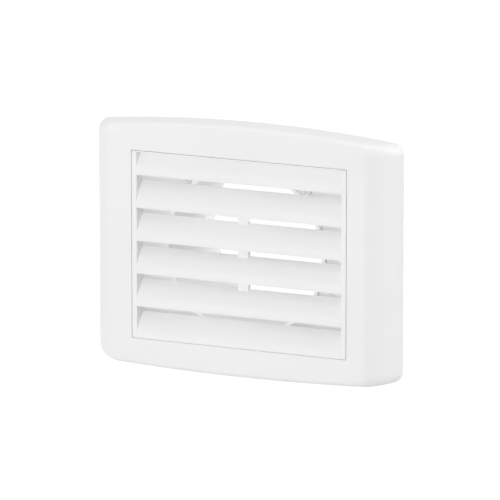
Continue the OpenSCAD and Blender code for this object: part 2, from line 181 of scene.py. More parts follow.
def revolved(profile: np.ndarray, steps: int) -> Surface:
    """Ring about the Y axis: the point at angle a of profile point (r, y) is (r cos a, y, r sin a).

    Args:
        profile: closed profile of radius and depth.
        steps: steps round the axis.

    Returns:
        Vertices and faces.
    """
    a = np.linspace(0, 2 * np.pi, steps, endpoint=False)[:, None]
    r, y = profile[None, :, 0], profile[None, :, 1]
    verts = np.stack([r * np.cos(a), y + 0 * a, r * np.sin(a)], axis=-1).reshape(-1, 3)
    return verts, grid_faces(steps, len(profile), True, True)


def joined(parts: list) -> Surface:
    """Puts several surfaces into one.

    Args:
        parts: pairs of vertices and faces.

    Returns:
        Vertices and faces of them all.
    """
    sizes = np.cumsum([0] + [len(v) for v, _ in parts])
    verts = np.concatenate([v for v, _ in parts])
    faces = [[int(i + n) for i in f] for (_, fs), n in zip(parts, sizes) for f in fs]
    return verts, faces


def mirrored(part: Surface, axis: int) -> Surface:
    """Mirrors a surface across the plane through the origin that is square to an axis.

    Args:
        part: vertices and faces.
        axis: number of the axis.

    Returns:
        Vertices and faces of the mirrored surface.
    """
    verts, faces = part
    flip = np.ones(3)
    flip[axis] = -1
    return verts * flip, [f[::-1] for f in faces]


def make_piece(name: str, surface: Surface, body: Body, finish: "Finish", stands_for: tuple,
               crease: float = 32.0) -> None:
    """Puts a surface, given in millimetres, into the scene as one piece of the valve.

    Args:
        name: name of the piece.
        surface: vertices and faces.
        body: the rigid group it rides on.
        finish: its finish, which also names the record's slot.
        stands_for: the CAD nodes that it replaces.
        crease: angle in degrees above which an edge stays sharp.
    """
    verts, faces = surface
    mesh = bpy.data.meshes.new(name)
    mesh.from_pydata((verts * MM).tolist(), [], faces)
    edit = bmesh.new()
    edit.from_mesh(mesh)
    bmesh.ops.remove_doubles(edit, verts=edit.verts, dist=MERGE_DISTANCE)
    bmesh.ops.recalc_face_normals(edit, faces=edit.faces)
    edit.to_mesh(mesh)
    edit.free()
    mesh.shade_smooth()
    mesh.set_sharp_from_angle(angle=np.radians(crease))
    mesh.materials.append(finish.material())
    piece = bpy.data.objects.new(name, mesh)
    bpy.context.scene.collection.objects.link(piece)
    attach(piece, body.value)
    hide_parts(*stands_for)
    log.info("%s: %d faces, rides on %s", name, len(mesh.polygons), body.value)


# Finishes


class NodeDesk:
    """Adds nodes to one node tree and joins them."""

    def __init__(self, tree: bpy.types.NodeTree) -> None:
        """Keeps the tree that the nodes go into: a material's, a group's or the world's."""
        self.tree = tree

    def feed(self, node: bpy.types.Node, values: dict) -> None:
        """Sets or joins inputs of a node.

        Args:
            node: the node.
            values: input names or numbers, each with a value or the socket that feeds it.
        """
        for key, value in values.items():
            if isinstance(value, bpy.types.NodeSocket):
                self.tree.links.new(value, node.inputs[key])
            else:
                node.inputs[key].default_value = value

    def add(self, kind: str, values: dict | None = None, **settings: object) -> bpy.types.Node:
        """Adds a node.

        Args:
            kind: Blender's type name of the node.
            values: its inputs, as in feed.
            settings: properties of the node itself.

        Returns:
            The node.
        """
        node = self.tree.nodes.new(kind)
        for key, value in settings.items():
            setattr(node, key, value)
        self.feed(node, values or {})
        return node

    def effect(self, name: str, values: dict) -> bpy.types.bpy_prop_collection:
        """Outputs of a shared node group that is placed here, its inputs set as in feed."""
        return self.add("ShaderNodeGroup", values, node_tree=Effects.get(name)).outputs

    def maths(self, operation: str, first: object, second: object) -> bpy.types.NodeSocket:
        """Result of one Math node on two values or sockets."""
        return self.add("ShaderNodeMath", {0: first, 1: second}, operation=operation).outputs[0]

    def spread(self, value: bpy.types.NodeSocket, low: float, high: float) -> bpy.types.NodeSocket:
        """Maps a value from 0 to 1 onto low to high."""
        values = {"Value": value, "To Min": low, "To Max": high}
        return self.add("ShaderNodeMapRange", values).outputs["Result"]

    def noise(self, place: bpy.types.NodeSocket, scale: object, detail: float,
              roughness: float = 0.5, distortion: float = 0.0) -> bpy.types.NodeSocket:
        """Cloudy noise from 0 to 1.

        Args:
            place: coordinates in metres.
            scale: clouds a metre, or the socket that gives them.
            detail: octaves of finer noise.
            roughness: strength of the finer noise.
            distortion: how much the clouds are swirled.

        Returns:
            The noise.
        """
        values = {"Vector": place, "Scale": scale, "Detail": detail, "Roughness": roughness,
                  "Distortion": distortion}
        return self.add("ShaderNodeTexNoise", values).outputs["Fac"]

    def cells(self, place: bpy.types.NodeSocket, scale: object,
              feature: str = "F1") -> bpy.types.NodeSocket:
        """Distance from the middle of the nearest cell, where scale is the cells a metre."""
        values = {"Vector": place, "Scale": scale}
        return self.add("ShaderNodeTexVoronoi", values, feature=feature).outputs["Distance"]

    def blended(self, mask: object, first: object, second: object,
                blend: str = "MIX") -> bpy.types.NodeSocket:
        """Mixes two colours.

        Args:
            mask: share of the second one.
            first: colour or socket.
            second: colour or socket.
            blend: Blender's name of the blend.

        Returns:
            The mixed colour.
        """
        mix = self.add("ShaderNodeMix", {MIX_FACTOR: mask, MIX_A: first, MIX_B: second},
                       data_type="RGBA", blend_type=blend)
        return mix.outputs[MIX_RESULT]

    def tinted(self, colour: bpy.types.NodeSocket, value: bpy.types.NodeSocket,
               red_green: tuple, blue: tuple) -> bpy.types.NodeSocket:
        """Tints a colour by a value that changes over the surface.

        Args:
            colour: the colour.
            value: the value, from 0 to 1.
            red_green: factors of red and green at 0 and at 1.
            blue: the same of blue.

        Returns:
            The tinted colour.
        """
        shade = self.spread(value, *red_green)
        channels = {0: shade, 1: shade, 2: self.spread(value, *blue)}
        tint = self.add("ShaderNodeCombineColor", channels).outputs[0]
        return self.blended(1.0, colour, tint, "MULTIPLY")

    def relief(self, height: bpy.types.NodeSocket, depth: float,
               strength: float) -> bpy.types.NodeSocket:
        """Normal of a relief: its height, its depth in metres and the share that shows."""
        values = {"Height": height, "Distance": depth, "Strength": strength}
        return self.add("ShaderNodeBump", values).outputs["Normal"]


def new_group(name: str, inputs: dict, outputs: dict) -> tuple:
    """Starts a shader node group with named sockets.

    Args:
        name: name of the group.
        inputs: socket names and kinds, "Float", "Color" or "Vector".
        outputs: the same for the outputs.

    Returns:
        The group, its desk, the sockets that it is given, and its output node.
    """
    group = bpy.data.node_groups.new(name, "ShaderNodeTree")
    for sockets, way in ((inputs, "INPUT"), (outputs, "OUTPUT")):
        for label, kind in sockets.items():
            group.interface.new_socket(name=label, in_out=way, socket_type=f"NodeSocket{kind}")
    desk = NodeDesk(group)
    return group, desk, desk.add("NodeGroupInput").outputs, desk.add("NodeGroupOutput")


def moulded_skin_group() -> bpy.types.NodeTree:
    """Skin of a moulded piece: spark-eroded grain, slow flow tint, and rubbed patches.

    Returns:
        The group.
    """
    group, desk, given, out = new_group(
        "moulded_skin",
        {"Vector": "Vector", "Colour": "Color", "Grain Scale": "Float", "Flow Scale": "Float"},
        {"Colour": "Color", "Roughness Mask": "Float", "Height": "Float"})
    place, grain = given["Vector"], given["Grain Scale"]
    fine = desk.noise(place, grain, detail=3.0, roughness=0.6)
    pits = desk.cells(place, grain, "SMOOTH_F1")
    pit_share = 0.5
    flow = desk.noise(place, given["Flow Scale"], detail=2.0, distortion=0.6)
    desk.feed(out, {
        "Colour": desk.tinted(given["Colour"], flow, red_green=(0.982, 1.012), blue=(0.978, 1.012)),
        "Roughness Mask": desk.maths("MULTIPLY", flow, desk.spread(fine, low=0.7, high=1.3)),
        "Height": desk.maths("ADD", fine, desk.maths("MULTIPLY", pits, pit_share))})
    return group


def dust_group() -> bpy.types.NodeTree:
    """Dust: a thin uneven film with fine specks, as a colour over the given one.

    Returns:
        The group.
    """
    group, desk, given, out = new_group(
        "settled_dust", {"Vector": "Vector", "Colour": "Color", "Amount": "Float"},
        {"Colour": "Color"})
    film = desk.noise(given["Vector"], scale=90.0, detail=5.0)
    grit = desk.noise(given["Vector"], scale=1400.0, detail=1.0)
    specks = desk.add("ShaderNodeMapRange", {"Value": grit, "From Min": 0.62, "From Max": 0.7})
    thick = desk.maths("ADD", film, specks.outputs["Result"])
    mask = desk.maths("MULTIPLY", thick, given["Amount"])
    pale_grey = (0.55, 0.54, 0.52, 1.0)
    desk.feed(out, {"Colour": desk.blended(mask, given["Colour"], pale_grey)})
    return group


def metal_marks_group() -> bpy.types.NodeTree:
    """Marks on metal: lines drawn out along one axis and a cloudy change of gloss.

    Returns:
        The group.
    """
    group, desk, given, out = new_group(
        "metal_marks", {"Vector": "Vector", "Colour": "Color", "Stretch": "Vector"},
        {"Colour": "Color", "Roughness Mask": "Float", "Height": "Float"})
    drawn = desk.add("ShaderNodeVectorMath", {0: given["Vector"], 1: given["Stretch"]},
                     operation="MULTIPLY").outputs[0]
    lines = desk.noise(drawn, scale=1.0, detail=4.0)
    cloud = desk.noise(given["Vector"], scale=350.0, detail=3.0)
    half = 0.5
    desk.feed(out, {
        "Colour": desk.tinted(given["Colour"], cloud, red_green=(0.86, 1.08), blue=(0.92, 1.1)),
        "Roughness Mask": desk.maths("MULTIPLY", desk.maths("ADD", lines, cloud), half),
        "Height": lines})
    return group


class Effects:
    """The shared node groups, each built once."""

    _made: dict = {}
    _makers = {"skin": moulded_skin_group, "dust": dust_group, "metal": metal_marks_group}

    @classmethod
    def get(cls, name: str) -> bpy.types.NodeTree:
        """Gives a group, and makes it on first use.

        Args:
            name: name of the effect.

        Returns:
            The group.
        """
        if name not in cls._made:
            cls._made[name] = cls._makers[name]()
        return cls._made[name]


def started_material(name: str) -> tuple:
    """Starts a material.

    Args:
        name: name of the material.

    Returns:
        The material, its desk, its shader and the Object coordinates.
    """
    material = bpy.data.materials.new(name)
    material.use_nodes = True
    desk = NodeDesk(material.node_tree)
    shader = material.node_tree.nodes["Principled BSDF"]
    place = desk.add("ShaderNodeTexCoord").outputs["Object"]
    return material, desk, shader, place


@dataclass(frozen=True)
class MouldedPlastic:
    """Satin moulded plastic.

    Attributes:
        name: name of the finish.
        colour: linear colour.
        gloss_low: roughness where the skin is rubbed.
        gloss_high: roughness elsewhere.
        grain_scale: grain cells a metre.
        grain_depth: depth of the grain in metres.
        grain_strength: share of the grain that shows.
        flow_scale: flow marks a metre.
        dust: amount of dust.
    """

    name: str
    colour: tuple
    gloss_low: float = 0.27
    gloss_high: float = 0.37
    grain_scale: float = 1500.0
    grain_depth: float = 0.00002
    grain_strength: float = 0.6
    flow_scale: float = 22.0
    dust: float = 0.012

    def build(self) -> bpy.types.Material:
        """Makes the material from the moulded skin under dust.

        Returns:
            The material.
        """
        material, desk, shader, place = started_material(self.name)
        skin = desk.effect("skin", {
            "Vector": place, "Colour": (*self.colour, 1.0), "Grain Scale": self.grain_scale,
            "Flow Scale": self.flow_scale})
        dust = desk.effect("dust", {
            "Vector": place, "Colour": skin["Colour"], "Amount": self.dust})
        desk.feed(shader, {
            "Base Color": dust["Colour"],
            "Roughness": desk.spread(skin["Roughness Mask"], self.gloss_high, self.gloss_low),
            "Normal": desk.relief(skin["Height"], self.grain_depth, self.grain_strength)})
        shader.inputs["IOR"].default_value = 1.5
        return material


@dataclass(frozen=True)
class SoftRubber(MouldedPlastic):
    """Matt rubber: a coarser and duller skin with a bloom of dust, and the same attributes."""

    gloss_low: float = 0.6
    gloss_high: float = 0.75
    grain_scale: float = 1100.0
    grain_depth: float = 0.00004
    grain_strength: float = 0.7
    flow_scale: float = 60.0
    dust: float = 0.1


@dataclass(frozen=True)
class FoamSheet:
    """Closed-cell foam with its cut cells open, the middle of each cell painted darker as shade in
    its pit.

    Attributes:
        name: name of the finish.
        colour: linear colour in the middle of a cell, painted dark there as shade in the pit.
        cells: large cells a metre.
        small_cells: small cells for each large one.
        painted_shade_ratio: how many times lighter the cell walls are than the painted shade in a
            cell's middle.
        painted_shade_falloff: how soon the painted shade of a cell's middle gives way to its
            lighter wall.
        cell_depth: depth of the cells in metres.
        cell_strength: share of the cells' relief that shows.
        dust: amount of dust.
    """

    name: str
    colour: tuple
    cells: float = 900.0
    small_cells: float = 2.3
    painted_shade_ratio: float = 2.6
    painted_shade_falloff: float = 2.2
    cell_depth: float = 0.0003
    cell_strength: float = 0.9
    dust: float = 0.06

    def build(self) -> bpy.types.Material:
        """Makes the material from two sizes of cells, the middle of each painted darker as shade.

        Returns:
            The material.
        """
        material, desk, shader, place = started_material(self.name)
        large = desk.cells(place, self.cells)
        small = desk.cells(place, self.cells * self.small_cells)
        cell = desk.maths("MULTIPLY", large, small)
        # Painted shade: each cell's middle, its pit, keeps the dark colour, and the walls are
        # lighter
        wall = tuple(c * self.painted_shade_ratio for c in self.colour)
        colour = desk.blended(desk.maths("MULTIPLY", cell, self.painted_shade_falloff), (*self.colour, 1.0),
                              (*wall, 1.0))
        dust = desk.effect("dust", {"Vector": place, "Colour": colour, "Amount": self.dust})
        desk.feed(shader, {
            "Base Color": dust["Colour"],
            "Normal": desk.relief(cell, self.cell_depth, self.cell_strength)})
        shader.inputs["Roughness"].default_value = 0.95
        return material


@dataclass(frozen=True)
class Steel:
    """Bright steel, plated or drawn.

    Attributes:
        name: name of the finish.
        colour: linear colour.
        stretch: lines a metre along X, Y and Z; a low number draws the marks out along that axis.
        gloss_low: lowest roughness.
        gloss_high: highest roughness.
        mark_depth: depth of the marks in metres.
        mark_strength: share of the marks that shows.
    """

    name: str
    colour: tuple
    stretch: tuple
    gloss_low: float = 0.2
    gloss_high: float = 0.42
    mark_depth: float = 0.00001
    mark_strength: float = 0.5

    def build(self) -> bpy.types.Material:
        """Makes the material from the marks on metal.

        Returns:
            The material.
        """
        material, desk, shader, place = started_material(self.name)
        marks = desk.effect("metal", {
            "Vector": place, "Colour": (*self.colour, 1.0), "Stretch": self.stretch})
        desk.feed(shader, {
            "Base Color": marks["Colour"],
            "Roughness": desk.spread(marks["Roughness Mask"], self.gloss_low, self.gloss_high),
            "Normal": desk.relief(marks["Height"], self.mark_depth, self.mark_strength)})
        shader.inputs["Metallic"].default_value = 1.0
        return material


class Finish(Enum):
    """The finishes of the valve, each with the record's material slot that it belongs to."""

    COVER = ("cover_plastic", MouldedPlastic(
        "satin_white_cover", (0.898, 0.896, 0.897), gloss_low=0.34, gloss_high=0.46))
    INSERT = ("insert_plastic", MouldedPlastic("satin_white_insert", (0.891, 0.889, 0.890)))
    PLATE = ("plate_plastic", MouldedPlastic(
        "satin_white_plate", (0.881, 0.88, 0.88), gloss_low=0.42, gloss_high=0.55,
        grain_scale=1100.0))
    BUSH = ("bush_plastic", MouldedPlastic(
        "natural_bush_plastic", (0.80, 0.80, 0.78), gloss_low=0.28, gloss_high=0.4,
        grain_scale=1800.0))
    GASKET = ("gasket_foam", FoamSheet("grey_foam", (0.075, 0.078, 0.082)))
    SEAL = ("seal_rubber", SoftRubber("dark_seal_rubber", (0.035, 0.036, 0.038)))
    SCREW = ("screw_steel", Steel(
        "zinc_plated_steel", (0.60, 0.62, 0.65), stretch=(900.0, 900.0, 900.0)))
    LACQUER = ("screw_lacquer", MouldedPlastic(
        "white_screw_lacquer", (0.85, 0.85, 0.845), gloss_low=0.26, gloss_high=0.36,
        grain_scale=2400.0))
    SPINDLE = ("spindle_steel", Steel(
        "drawn_steel", (0.62, 0.63, 0.64), stretch=(60.0, 2600.0, 2600.0)))

    @property
    def slot(self) -> str:
        """The record's slot name."""
        return self.value[0]

    def material(self) -> bpy.types.Material:
        """The material, made on first use."""
        look = self.value[1]
        return bpy.data.materials.get(look.name) or look.build()


# Sub-assemblies


@dataclass
class FrontCover:
    """The flared cover: a thin shell whose front face turns softly into its sides.

    Sizes are in millimetres, and a depth is counted from the front face towards the wall.
    """

    width: float = 190.5
    front_width: float = 157.5
    depth: float = 18.0
    top: float = 74.4
    top_rise: float = 5.3
    bottom: float = 72.9
    bottom_rise: float = 3.1
    corner_r: float = 7.0
    side_bulge: float = 3.0
    side_rim: float = 1.3
    side_edge_r: float = 12.0
    top_edge_r: float = 3.0
    wall: float = 2.0
    back_gap: float = 0.3
    rim_r: float = 0.15
    window_half_w: float = 67.4
    window_half_h: float = 55.6
    window_edge_r: float = 0.15
    window_corner_r: float = 0.4
    return_wall: float = 1.8
    return_depth: float = 10.3
    return_edge_r: float = 0.2
    return_corner_r: float = 2.0
    ledge_front: float = 9.1
    ledge_w: float = 2.5
    finger_x: float = 45.0
    finger_w: float = 10.0
    finger_z: float = 63.26
    finger_t: float = 1.8
    barb_front: float = 8.8
    barb_l: float = 2.6
    barb_h: float = 1.6
    finger_stop: float = 12.7
    finger_edge_r: float = 0.12
    end_bevel: float = 0.1
    # How far ledges and fingers reach into the shell
    root: float = 0.4
    # Points of the profiles and loops
    edge_points: int = 8
    side_points: int = 20
    window_edge_points: int = 5
    loop_edge_steps: int = 28
    loop_corner_points: int = 13
    loop_side_points: int = 20

    def side_arc(self) -> tuple:
        """Finds the side's arc from its chord c and bulge b.

        The radius is (c^2 / 4 + b^2) / 2b, and the angles lie asin(c / 2r) either side of the
        chord's.

        Returns:
            Radius, start angle and end angle.
        """
        run = (self.width - self.front_width) / 2
        fall = self.depth - self.side_rim
        chord = np.hypot(run, fall)
        radius = (chord ** 2 / 4 + self.side_bulge ** 2) / (2 * self.side_bulge)
        half, middle = np.arcsin(chord / 2 / radius), np.arctan2(fall, run)
        return radius, middle - half, middle + half

    def side_profile(self, inward: float) -> np.ndarray:
        """Side profile from the front face to the rim, as half width x and depth s.

        The soft edge is the arc x = start + R sin a, s = R (1 - cos a), and the side is the arc
        x = front + r (sin b - sin a0), s = r (cos a0 - cos b). Both are moved inwards by a wall
        thickness along (-sin, cos). The points lie closer together near the front.

        Args:
            inward: how far the profile lies inside the outer skin.

        Returns:
            Points, (n, 2).
        """
        radius, a0, a1 = self.side_arc()
        front, edge_r = self.front_width / 2, self.side_edge_r
        first, crowding = 0.16, 1.15
        a = np.linspace(0, a0, self.edge_points)
        start = front - edge_r * np.tan(a0 / 2)
        edge = np.stack([start + edge_r * np.sin(a), edge_r * (1 - np.cos(a))], axis=1)
        b = a0 + (a1 - a0) * np.linspace(first, 1, self.side_points) ** crowding
        side = np.stack([front + radius * (np.sin(b) - np.sin(a0)),
                         radius * (np.cos(a0) - np.cos(b))], axis=1)
        angles = np.concatenate([a, b])[:, None]
        normals = np.concatenate([-np.sin(angles), np.cos(angles)], axis=1)
        return np.concatenate([edge, side]) + inward * normals

    def edge_inset(self, depth: np.ndarray, radius: float) -> np.ndarray:
        """Inset of the top and bottom edges at a depth s: r - sqrt(r^2 - (r - s)^2), or 0."""
        short = np.clip(radius - depth, 0, radius)
        return radius - np.sqrt(radius ** 2 - short ** 2)

    def loops(self, rows: np.ndarray) -> np.ndarray:
        """Closed loops round the cover, one for each row.

        A row holds half width h, depth, top, top rise, bottom, bottom rise and corner radius r.
        The top edge is z = top - rise (x / half width)^2, and each corner is an arc that meets
        the edge's tangent and the upright side.

        Args:
            rows: (n, 7) values in millimetres.

        Returns:
            Points, (n, points round the loop, 3).
        """
        h, s, top, top_rise, bottom, bottom_rise, r = (rows[:, i:i + 1] for i in range(7))
        ref = self.width / 2
        f = np.linspace(0, 1, self.loop_edge_steps, endpoint=False)[None]
        g = np.linspace(0, 1, self.loop_corner_points)[None]
        k = np.linspace(0, 1, self.loop_side_points)[None, 1:-1]
        x_edge = f * (h - r)
        edges, corners = [], []
        for height, rise in ((bottom, bottom_rise), (top, top_rise)):
            lean = np.arctan(2 * rise * h / ref ** 2)
            centre = height - rise * (h / ref) ** 2 + r * np.tan(lean) - r / np.cos(lean)
            t = g * (np.pi / 2 - lean)
            edges.append(height - rise * (x_edge / ref) ** 2)
            corners.append((h - r + r * np.cos(t), centre + r * np.sin(t), centre))
        (low_x, low_z, low_centre), (high_x, high_z, high_centre) = corners
        side_z = -low_centre + (high_centre + low_centre) * k
        x = np.concatenate([x_edge, low_x[:, ::-1], h + 0 * k, high_x, x_edge[:, ::-1]], axis=1)
        z = np.concatenate([-edges[0], -low_z[:, ::-1], side_z, high_z, edges[1][:, ::-1]], axis=1)
        x = np.concatenate([x, -x[:, -2:0:-1]], axis=1)
        z = np.concatenate([z, z[:, -2:0:-1]], axis=1)
        return np.stack([x, s - self.depth + 0 * x, z], axis=-1)

    def skin_rows(self, profile: np.ndarray, inset: np.ndarray, corner: float) -> np.ndarray:
        """Loop values of the cover's outline.

        Args:
            profile: half widths and depths.
            inset: how far the top and bottom edges lie in.
            corner: radius of the corners.

        Returns:
            Rows for loops.
        """
        one = np.ones(len(profile))
        return np.stack([profile[:, 0], profile[:, 1], self.top - inset, self.top_rise * one,
                         self.bottom - inset, self.bottom_rise * one, corner * one], axis=1)

    def window_rows(self, out: list, depth: list, corner: float) -> np.ndarray:
        """Loop values round the window.

        Args:
            out: how far each loop lies outside the window.
            depth: depth of each loop.
            corner: radius of the corners, at least a little more than out.

        Returns:
            Rows for loops.
        """
        least_extra = 0.1
        out, depth, one = np.asarray(out, float), np.asarray(depth, float), np.ones(len(out))
        half_w, half_h = self.window_half_w + out, self.window_half_h + out
        corners = np.maximum(corner * one, out + least_extra)
        return np.stack([half_w, depth, half_h, 0 * one, half_h, 0 * one, corners], axis=1)

    def shell(self) -> Surface:
        """The shell as one surface: window wall, face, soft edge, side, rim, and back inside.

        Returns:
            Vertices and faces.
        """
        turn = np.linspace(0, np.pi / 2, self.window_edge_points)
        wall, edge, rim_r = self.wall, self.window_edge_r, self.rim_r
        sharp, back_edge = self.window_corner_r, self.return_depth - self.return_edge_r
        outer, inner = self.side_profile(0.0), self.side_profile(wall)
        back = self.depth - self.back_gap
        rim_x, rim_in = outer[-1, 0], outer[-1, 0] - wall
        # Extra loops beside an edge keep the face next to it flat
        face_hold, outer_hold, inner_hold, wall_hold = 0.8, 0.5, 0.4, 0.4
        upper_loop, lower_loop, near_window, off_window, off_return = 1.2, 5.0, 0.5, 3.0, 2.0
        outer_rim = np.array([[rim_x, back - outer_hold], [rim_x, back - rim_r],
                              [rim_x - rim_r, back]])
        inner_rim = np.array([[rim_in + rim_r, back], [rim_in, back - rim_r],
                              [rim_in, back - inner_hold]])
        face = outer[:1] - [[face_hold, 0]]
        inner = inner[::-1]
        inner_inset = self.edge_inset(inner[:, 1] - wall, self.top_edge_r - wall)
        inner_corner, behind = self.corner_r - wall, self.return_wall
        rows = np.concatenate([
            self.window_rows([0, 0, 0], [back_edge, lower_loop, upper_loop], sharp),
            self.window_rows(edge * (1 - np.cos(turn)), edge * (1 - np.sin(turn)), sharp),
            self.window_rows([edge + near_window, off_window], [0, 0], sharp),
            self.skin_rows(face, np.array([self.top_edge_r + face_hold]), self.corner_r),
            self.skin_rows(outer, self.edge_inset(outer[:, 1], self.top_edge_r), self.corner_r),
            self.skin_rows(outer_rim, np.array([0, 0, rim_r]), self.corner_r),
            self.skin_rows(inner_rim, np.array([wall - rim_r, wall, wall]), inner_corner),
            self.skin_rows(inner, wall + inner_inset, inner_corner),
            self.window_rows([behind + off_return, behind + wall_hold, behind, behind],
                             [wall, wall, wall + wall_hold, back_edge], self.return_corner_r),
            self.window_rows([behind - self.return_edge_r, self.return_edge_r],
                             [self.return_depth, self.return_depth], sharp)])
        points = self.loops(rows)
        return points.reshape(-1, 3), grid_faces(points.shape[0], points.shape[1], True, True)

    def ledges(self) -> list:
        """The two ledges beside the window that the insert seats on.

        Returns:
            Their surfaces.
        """
        profile = box_profile(
            self.window_half_w - self.ledge_w, self.window_half_w + self.root,
            self.ledge_front - self.depth, self.return_depth - self.depth, self.return_edge_r)
        bar = swept_bar(profile, -self.window_half_h, self.window_half_h, self.end_bevel,
                        Axis.ALONG_Z)
        return [bar, mirrored(bar, 0)]

    def fingers(self) -> list:
        """The four snap fingers: a barbed profile of depth and height carried along X.

        Returns:
            Their surfaces.
        """
        z0, z1 = self.finger_z, self.finger_z + self.finger_t
        foot, half = self.wall - self.root, self.finger_w / 2
        profile = rounded_polygon([
            (foot, z0), (self.finger_stop, z0), (self.finger_stop, z1),
            (self.barb_front + self.barb_l, z1), (self.barb_front, z1 + self.barb_h),
            (self.barb_front, z1), (foot, z1)], self.finger_edge_r, 2) - [self.depth, 0]
        bar = swept_bar(profile, self.finger_x - half, self.finger_x + half, self.end_bevel,
                        Axis.ALONG_X)
        right = [bar, mirrored(bar, 2)]
        return right + [mirrored(b, 0) for b in right]

    def build(self) -> None:
        """Makes the cover in place of its CAD node."""
        make_piece("cover_shell", joined([self.shell()] + self.ledges() + self.fingers()),
                   Body.HOUSING, Finish.COVER, ("front_cover",), crease=40.0)


@dataclass
class LouvreInsert:
    """The pull-out insert: its rails and six hooked louvres. Sizes in millimetres."""

    front_y: float = -18.0
    width: float = 134.0
    height: float = 110.4
    depth: float = 8.8
    rail_w: float = 3.0
    top_rail_h: float = 0.6
    bottom_rail_h: float = 1.6
    first_edge: float = 14.2
    pitch: float = 19.4
    lip_h: float = 5.0
    louvre_h: float = 15.1
    slope_d: float = 4.0
    slope: float = 56.0
    wall: float = 1.6
    count: int = 6
    edge_r: float = 0.35
    bend_r: float = 0.9
    inner_bend_r: float = 0.5
    arc_points: int = 15
    side_edge_r: float = 0.15
    top_edge_r: float = 0.12
    bottom_edge_r: float = 0.2
    end_bevel: float = 0.05
    nub_r: float = 1.5
    nub_out: float = 0.15

    def louvre_profile(self) -> np.ndarray:
        """Louvre profile as depth and height: upright lip, slope, and an arc that levels off.

        The arc is (d + r (sin s - sin a), h + r (cos a - cos s)) from the slope's angle s down
        to the angle at the rear edge, and the inner skin is the same moved by the wall along
        (sin a, -cos a).

        Returns:
            The points of the closed profile.
        """
        s = np.radians(self.slope)
        rise = self.lip_h + self.slope_d * np.tan(s)
        run, climb = self.depth - self.slope_d, self.louvre_h - rise
        turn = s - np.arctan2(climb, run)
        r = np.hypot(run, climb) / 2 / np.sin(turn)
        a = np.linspace(s, s - 2 * turn, self.arc_points)
        outer = np.stack([self.slope_d + r * (np.sin(s) - np.sin(a)),
                          rise + r * (np.cos(a) - np.cos(s))], axis=1)
        rear = np.arcsin((r * np.sin(s) - run) / (r - self.wall))
        b = np.linspace(rear, s, self.arc_points)
        inner = np.stack([self.slope_d + r * (np.sin(s) - np.sin(b)) + self.wall * np.sin(b),
                          rise + r * (np.cos(b) - np.cos(s)) - self.wall * np.cos(b)], axis=1)
        lip_in = self.lip_h - self.wall * np.tan(np.pi / 4 - s / 2)
        low, bend, inside, low_in = (0, 0), (0, self.lip_h), (self.wall, lip_in), (self.wall, 0)
        e = self.edge_r
        return np.concatenate([
            fillet(low_in, low, bend, e), fillet(low, bend, outer[0], self.bend_r), outer[:-1],
            fillet(outer[-2], outer[-1], inner[0], e, 3), inner[1:],
            fillet(inner[-1], inside, low_in, self.inner_bend_r), fillet(inside, low_in, low, e)])

    def lower_edge(self, number: int) -> float:
        """Height of the lower front edge of a louvre, counted from 1 at the top."""
        return self.height / 2 - self.first_edge - (number - 1) * self.pitch

    def louvre(self, number: int) -> Surface:
        """One louvre between the side rails, cut level where the top and bottom rails hold it.

        Args:
            number: the louvre's number.

        Returns:
            Vertices and faces.
        """
        profile = self.louvre_profile()
        top = self.height / 2 - (self.top_rail_h if number == 1 else 0.0)
        z = np.clip(profile[:, 1] + self.lower_edge(number), -self.height / 2, top)
        half = self.width / 2 - self.rail_w
        return swept_bar(np.stack([profile[:, 0] + self.front_y, z], axis=1), -half, half,
                         self.end_bevel, Axis.ALONG_X)

    def nub(self) -> Surface:
        """Half-round nub on a rail's side: x = r cos p, and a circle of radius r sin p about it.

        Returns:
            Vertices and faces.
        """
        rings, spokes, tip = 8, 20, 0.02
        p = np.linspace(tip, np.pi / 2, rings)[:, None]
        q = np.linspace(0, 2 * np.pi, spokes, endpoint=False)[None]
        x = self.width / 2 - self.nub_r + self.nub_out + self.nub_r * np.cos(p) + 0 * q
        y = self.front_y + self.depth / 2 + self.nub_r * np.sin(p) * np.cos(q)
        z = self.nub_r * np.sin(p) * np.sin(q)
        return np.stack([x, y, z], axis=-1).reshape(-1, 3), tube_faces(rings, spokes)

    def frame_bars(self) -> list:
        """The side rails with their nubs, the thin top rail and the bottom rail.

        Returns:
            Their surfaces.
        """
        half_w, half_h, y = self.width / 2, self.height / 2, self.front_y
        back, inner = y + self.depth, half_w - self.rail_w / 2
        rail = swept_bar(box_profile(half_w - self.rail_w, half_w, y, back, self.side_edge_r),
                         -half_h, half_h, self.side_edge_r, Axis.ALONG_Z)
        top = swept_bar(box_profile(y, y + self.slope_d, half_h - self.top_rail_h, half_h,
                                    self.top_edge_r), -inner, inner, self.end_bevel, Axis.ALONG_X)
        bottom = swept_bar(box_profile(y + self.wall, back, -half_h, -half_h + self.bottom_rail_h,
                                       self.bottom_edge_r),
                           -inner, inner, self.end_bevel, Axis.ALONG_X)
        (verts, faces), nub_z = self.nub(), self.height / 3
        side = [rail] + [(verts + [0, 0, z], faces) for z in (-nub_z, nub_z)]
        return side + [mirrored(b, 0) for b in side] + [top, bottom]

    def build(self) -> None:
        """Makes the frame and each louvre in place of their CAD nodes."""
        make_piece("insert_rails", joined(self.frame_bars()), Body.INSERT, Finish.INSERT,
                   ("insert_frame",))
        for number in range(1, self.count + 1):
            make_piece(f"hooked_louvre_{number}", self.louvre(number), Body.INSERT, Finish.INSERT,
                       (f"louvre_{number}",))


